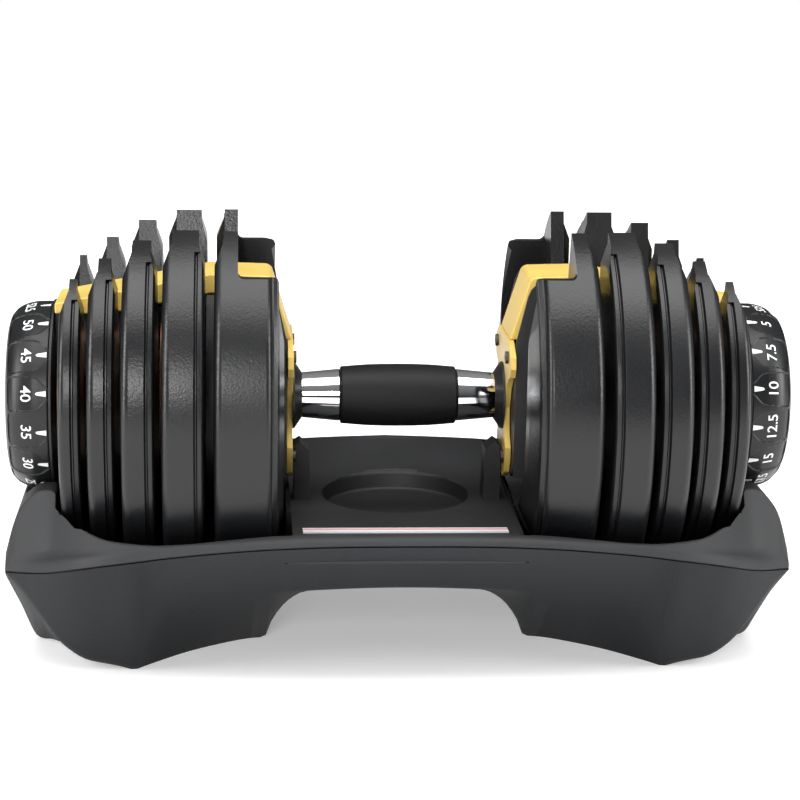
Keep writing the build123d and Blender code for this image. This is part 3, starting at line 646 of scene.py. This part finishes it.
def base_skirt():
    """Lower moulding: two pods and the tunnel between them, open where the tray lies in it."""
    skirt = new_piece("skirt_shell", loft("skirt_shell", [skirt_section(x) for x in base_places()]))
    cut(skirt, prism("deck", deck_outline(), DECK_UNDERSIDE, DECK_ROOM_TOP))
    for _, side in SIDES:
        cut(skirt, rod_shape("bowl", bowl_profile(), side))
    skirt.data.shade_smooth()
    skirt.data.set_sharp_from_angle(angle=SKIRT_SHARP_ANGLE)
    finish_piece(skirt, "base_charcoal", "base", "base_skirt")


# ---------------------------------------------------------------- dials
# Lengths in mm: x outwards along the handle, radii from its axis.
DIAL_NUMBERS = (
    "5", "7.5", "10", "12.5", "15", "17.5", "20", "22.5", "25", "30", "35", "40", "45", "50", "52.5",
)
STEP_ANGLE = 2 * pi / len(DIAL_NUMBERS)
MARK_ANGLES = {-1: radians(84.5), 1: radians(88)}      # where the number in use stands, up from the front
DIAL_START = 179.0
DIAL_END = 201.8
KNOB_OUTLINE = (
    (DIAL_START, 48.4), (179.8, 49.0), (182.0, 48.98), (187.0, 48.9), (190.0, 48.4), (192.4, 47.8),
    (194.6, 46.95), (196.4, 46.0), (198.0, 44.8), (199.4, 43.2), (200.5, 41.6), (201.2, 39.8),
    (201.6, 38.0), (DIAL_END, 36.0),
)
KNOB_INSIDE = (
    (DIAL_END, 24.6), (199.0, 24.6), (199.0, 36.0), (195.6, 41.5), (188.0, 44.4), (DIAL_START, 45.0),
)
KNOB_ROWS = 80
COLUMNS_PER_NUMBER = 64
KNOB_SHARP_ANGLE = radians(50)
PANEL_END = 199.8
PANEL_HALF_WIDTH = (
    (DIAL_START, 3.0), (180.6, 3.6), (182.4, 5.6), (184.4, 7.6), (186.2, 8.3), (190.0, 8.7), (197.4, 8.9),
    (199.2, 8.3), (PANEL_END, 5.5),
)
PANEL_DEPTH = 0.55
PANEL_EDGE = 0.3
PANEL_FLATNESS = 0.55
TEXT_SIZE = 7.4
TEXT_THICKNESS = 0.09
TEXT_BOLDNESS = 0.04
TEXT_CURVE_STEPS = 4
TEXT_MERGE = 0.0001
TEXT_SPLITS = 3
LONGEST_TEXT_EDGE = 0.9
DIGIT_HEIGHT = 5.4
NUMBER_MIDDLE_X = 190.3
NUMBER_SQUEEZE = 1.12
MARK_PROUD = 0.06
TICK = (
    (0.0, -1.45), (0.0, 1.45), (3.0, 1.0), (4.6, 0.75), (5.3, 0.35), (5.3, -0.35), (4.6, -0.75), (3.0, -1.0),
)
TICK_START_X = 180.2
TICK_HEIGHTS = (-0.1, 0.1)
knob_radius = curve_through(KNOB_OUTLINE)
panel_half_width = curve_through(PANEL_HALF_WIDTH)


def number_angle(index, side):
    """Angle of a number's middle, up from the front."""
    if side < 0:
        return MARK_ANGLES[side] + STEP_ANGLE * (index - len(DIAL_NUMBERS) + 1)
    return MARK_ANGLES[side] - STEP_ANGLE * (index + 1)


def knob_surface(x, angle_off):
    """Radius in mm of the knob at x, at an angle from the nearest number's middle."""
    radius = knob_radius(x)
    if not DIAL_START < x < PANEL_END:
        return radius
    inside = panel_half_width(x) - abs(angle_off) * radius
    blend = min(1.0, max(0.0, inside / PANEL_EDGE))
    blend = blend * blend * (3 - 2 * blend)
    flat = radius * cos(panel_half_width(x) / radius) / cos(angle_off)
    return radius - blend * (PANEL_DEPTH + PANEL_FLATNESS * (radius - flat))


def dial_knob(side_name, side):
    """The numbered knob, with a flattened panel for each number."""
    count = COLUMNS_PER_NUMBER * len(DIAL_NUMBERS)
    loops = []
    for index in range(KNOB_ROWS):
        x = DIAL_START + (DIAL_END - DIAL_START) * (index / (KNOB_ROWS - 1))
        loop = []
        for column in range(count):
            off = (column % COLUMNS_PER_NUMBER) / COLUMNS_PER_NUMBER - 0.5
            angle = number_angle(column // COLUMNS_PER_NUMBER, side) + off * STEP_ANGLE
            loop.append((x, knob_surface(x, off * STEP_ANGLE), angle))
        loops.append(loop)
    for x, radius in KNOB_INSIDE:
        loops.append([(x, radius, angle) for _, _, angle in loops[0]])
    points = [around_handle(side * x * MM, radius * MM, angle) for loop in loops for x, radius, angle in loop]
    faces = []
    for row in range(len(loops)):
        ahead = (row + 1) % len(loops)
        for column in range(count):
            beside = following_column(column, side)
            faces.append((
                row * count + column, row * count + beside, ahead * count + beside, ahead * count + column))
    mesh = mesh_of("knob", points, faces)
    knob = new_piece(f"{side_name}_dial_knob_panels", mesh)
    mesh.shade_smooth()
    mesh.set_sharp_from_angle(angle=KNOB_SHARP_ANGLE)
    finish_piece(knob, "dial_grey", f"{side_name}_dial", f"{side_name}_dial_knob")


def following_column(column, side):
    """The next column round the dial: the numbers run upwards on one side and down on the other."""
    count = COLUMNS_PER_NUMBER * len(DIAL_NUMBERS)
    if (column + 1) % COLUMNS_PER_NUMBER:
        return column + 1
    if side < 0:
        return (column + 1) % count
    return (column + 1 - 2 * COLUMNS_PER_NUMBER) % count


def text_mesh(text):
    """Flat text of the built-in letter shapes, thickened a little, as points and faces."""
    data = bpy.data.curves.new("number", "FONT")
    data.body = text
    data.size = TEXT_SIZE
    data.extrude = TEXT_THICKNESS
    data.offset = TEXT_BOLDNESS
    data.resolution_u = TEXT_CURVE_STEPS
    data.align_x = "CENTER"
    piece = new_piece("number", data)
    bpy.context.view_layer.update()
    mesh = bpy.data.meshes.new_from_object(piece.evaluated_get(bpy.context.evaluated_depsgraph_get()))
    bpy.data.objects.remove(piece)
    work = bmesh.new()
    work.from_mesh(mesh)
    bmesh.ops.remove_doubles(work, verts=work.verts, dist=TEXT_MERGE)
    for _ in range(TEXT_SPLITS):
        bmesh.ops.triangulate(work, faces=work.faces)
        long_edges = [edge for edge in work.edges if edge.calc_length() > LONGEST_TEXT_EDGE]
        bmesh.ops.subdivide_edges(work, edges=long_edges, cuts=1)
    bmesh.ops.triangulate(work, faces=work.faces)
    points = [vertex.co.copy() for vertex in work.verts]
    faces = [tuple(vertex.index for vertex in face.verts) for face in work.faces]
    work.free()
    return points, faces


def on_knob(x, along, height, index, side):
    """A point on the knob: along is in mm round it from a number's middle, height above its surface."""
    radius = knob_surface(x, 0.0)
    off = along / radius
    shown = knob_surface(x, off) + height + MARK_PROUD
    return around_handle(side * x * MM, shown * MM, number_angle(index, side) + off)


def dial_numbers(side_name, side):
    """White numbers with their ticks, wrapped onto the knob."""
    points, faces = [], []
    for index, text in enumerate(DIAL_NUMBERS):
        flat_points, flat_faces = text_mesh(text)
        start = len(points)
        for point in flat_points:
            x = NUMBER_MIDDLE_X - (point.y - DIGIT_HEIGHT / 2)
            points.append(on_knob(x, side * point.x * NUMBER_SQUEEZE, point.z, index, side))
        faces += [tuple(start + corner for corner in face) for face in flat_faces]
        start = len(points)
        for height in TICK_HEIGHTS:
            points += [on_knob(TICK_START_X + x, y, height, index, side) for x, y in TICK]
        count = len(TICK)
        faces.append(tuple(start + corner for corner in range(count)))
        faces.append(tuple(start + count + corner for corner in range(count)))
        for corner in range(count):
            beside = (corner + 1) % count
            faces.append((start + corner, start + beside, start + count + beside, start + count + corner))
    numbers = new_piece(f"{side_name}_dial_numbers", mesh_of("numbers", points, faces))
    finish_piece(numbers, "number_white", f"{side_name}_dial")


base_tray()
base_skirt()
for side_name, side in SIDES:
    dial_knob(side_name, side)
    dial_numbers(side_name, side)


# ---------------------------------------------------------------- stage, light and camera
FLOOR_HALF = 6.0
# The floor glows a little, and more with the distance from the object, so that it runs into the backdrop.
GLOW_DISTANCES = (0.25, 1.2)
GLOW_NEAR = 0.32
ROOM_STRENGTH = 0.32
ROOM_LOW = (0.10, 0.10, 0.105, 1)
WHITE = (1, 1, 1, 1)
# (name, place, (width, height), power)
LIGHTS = (
    ("front_box", (-0.35, -1.8, 0.75), (0.3, 0.5), 13), ("side_box_left", (-1.5, -0.55, 0.7), (0.4, 1.2), 22),
    ("side_box_right", (1.5, -0.55, 0.7), (0.4, 1.2), 22), ("top_box", (0, -0.3, 1.5), (1.8, 1.0), 30),
)
CAMERA_PLACE = (-0.0829, -1.2089, 0.3958)
CAMERA_TURN = radians(-3.99)
CAMERA_DOWN = radians(12.41)
CAMERA_ROLL = radians(0.91)
CAMERA_LENS = 105.73
CAMERA_SENSOR = 36.0


def stage():
    """A wide pale floor."""
    mesh = bpy.data.meshes.new("floor")
    corners = ((-1, -1), (1, -1), (1, 1), (-1, 1))
    mesh.from_pydata([(x * FLOOR_HALF, y * FLOOR_HALF, 0) for x, y in corners], [], [(0, 1, 2, 3)])
    floor = new_piece("floor", mesh)
    material, tree, shader, place = start_material("floor", 0.9, specular=0.1)
    tone = colours(tree, noise(tree, place, 3.0), (0.86, 0.86, 0.86), (0.88, 0.88, 0.88))
    tree.links.new(tone, shader.inputs["Base Color"])
    distance = node_of(tree, "ShaderNodeVectorMath", operation="LENGTH")
    tree.links.new(place, distance.inputs[0])
    glow = tree.nodes.new("ShaderNodeMapRange")
    glow.inputs["From Min"].default_value, glow.inputs["From Max"].default_value = GLOW_DISTANCES
    glow.inputs["To Min"].default_value = GLOW_NEAR
    tree.links.new(distance.outputs["Value"], glow.inputs["Value"])
    tree.links.new(glow.outputs["Result"], shader.inputs["Emission Color"])
    shader.inputs["Emission Strength"].default_value = 1.0
    floor.data.materials.append(material)


def area_light(name, place, size, power):
    """A soft box that faces the middle of the handle."""
    data = bpy.data.lights.new(name, "AREA")
    data.shape = "RECTANGLE"
    data.size, data.size_y = size
    data.energy = power
    lamp = bpy.data.objects.new(name, data)
    lamp.location = place
    aim = Vector((0, 0, AXIS_HEIGHT)) - Vector(place)
    lamp.rotation_euler = aim.to_track_quat("-Z", "Y").to_euler()
    bpy.context.scene.collection.objects.link(lamp)


def room():
    """A pale room that the camera sees as a white backdrop."""
    world = bpy.data.worlds.new("studio")
    world.use_nodes = True
    tree = world.node_tree
    surroundings = tree.nodes["Background"]
    surroundings.inputs["Strength"].default_value = ROOM_STRENGTH
    height = tree.nodes.new("ShaderNodeSeparateXYZ")
    tree.links.new(tree.nodes.new("ShaderNodeTexCoord").outputs["Generated"], height.inputs["Vector"])
    shade = tree.nodes.new("ShaderNodeValToRGB")
    shade.color_ramp.elements[0].color = ROOM_LOW
    shade.color_ramp.elements[1].color = WHITE
    tree.links.new(height.outputs["Z"], shade.inputs["Fac"])
    tree.links.new(shade.outputs["Color"], surroundings.inputs["Color"])
    backdrop = node_of(tree, "ShaderNodeBackground", Color=WHITE, Strength=1.0)
    seen = tree.nodes.new("ShaderNodeMixShader")
    tree.links.new(tree.nodes.new("ShaderNodeLightPath").outputs["Is Camera Ray"], seen.inputs["Fac"])
    tree.links.new(surroundings.outputs["Background"], seen.inputs[1])
    tree.links.new(backdrop.outputs["Background"], seen.inputs[2])
    tree.links.new(seen.outputs["Shader"], tree.nodes["World Output"].inputs["Surface"])
    bpy.context.scene.world = world


def camera():
    """Camera at a slight left turn, looking a little down at the handle."""
    right = Vector((cos(CAMERA_TURN), sin(CAMERA_TURN), 0))
    level = Vector((-sin(CAMERA_TURN), cos(CAMERA_TURN), 0))
    up = Vector((0, 0, 1))
    ahead = level * cos(CAMERA_DOWN) - up * sin(CAMERA_DOWN)
    above = up * cos(CAMERA_DOWN) + level * sin(CAMERA_DOWN)
    right_rolled = right * cos(CAMERA_ROLL) + above * sin(CAMERA_ROLL)
    above_rolled = above * cos(CAMERA_ROLL) - right * sin(CAMERA_ROLL)
    data = bpy.data.cameras.new("camera")
    data.sensor_width = CAMERA_SENSOR
    data.lens = CAMERA_LENS
    eye = bpy.data.objects.new("camera", data)
    columns = (right_rolled, above_rolled, -ahead)
    matrix = Matrix([[column[row] for column in columns] for row in range(3)]).to_4x4()
    matrix.translation = Vector(CAMERA_PLACE)
    eye.matrix_world = matrix
    bpy.context.scene.collection.objects.link(eye)
    bpy.context.scene.camera = eye


stage()
room()
for light in LIGHTS:
    area_light(*light)
camera()
bpy.context.scene.view_settings.view_transform = "Standard"
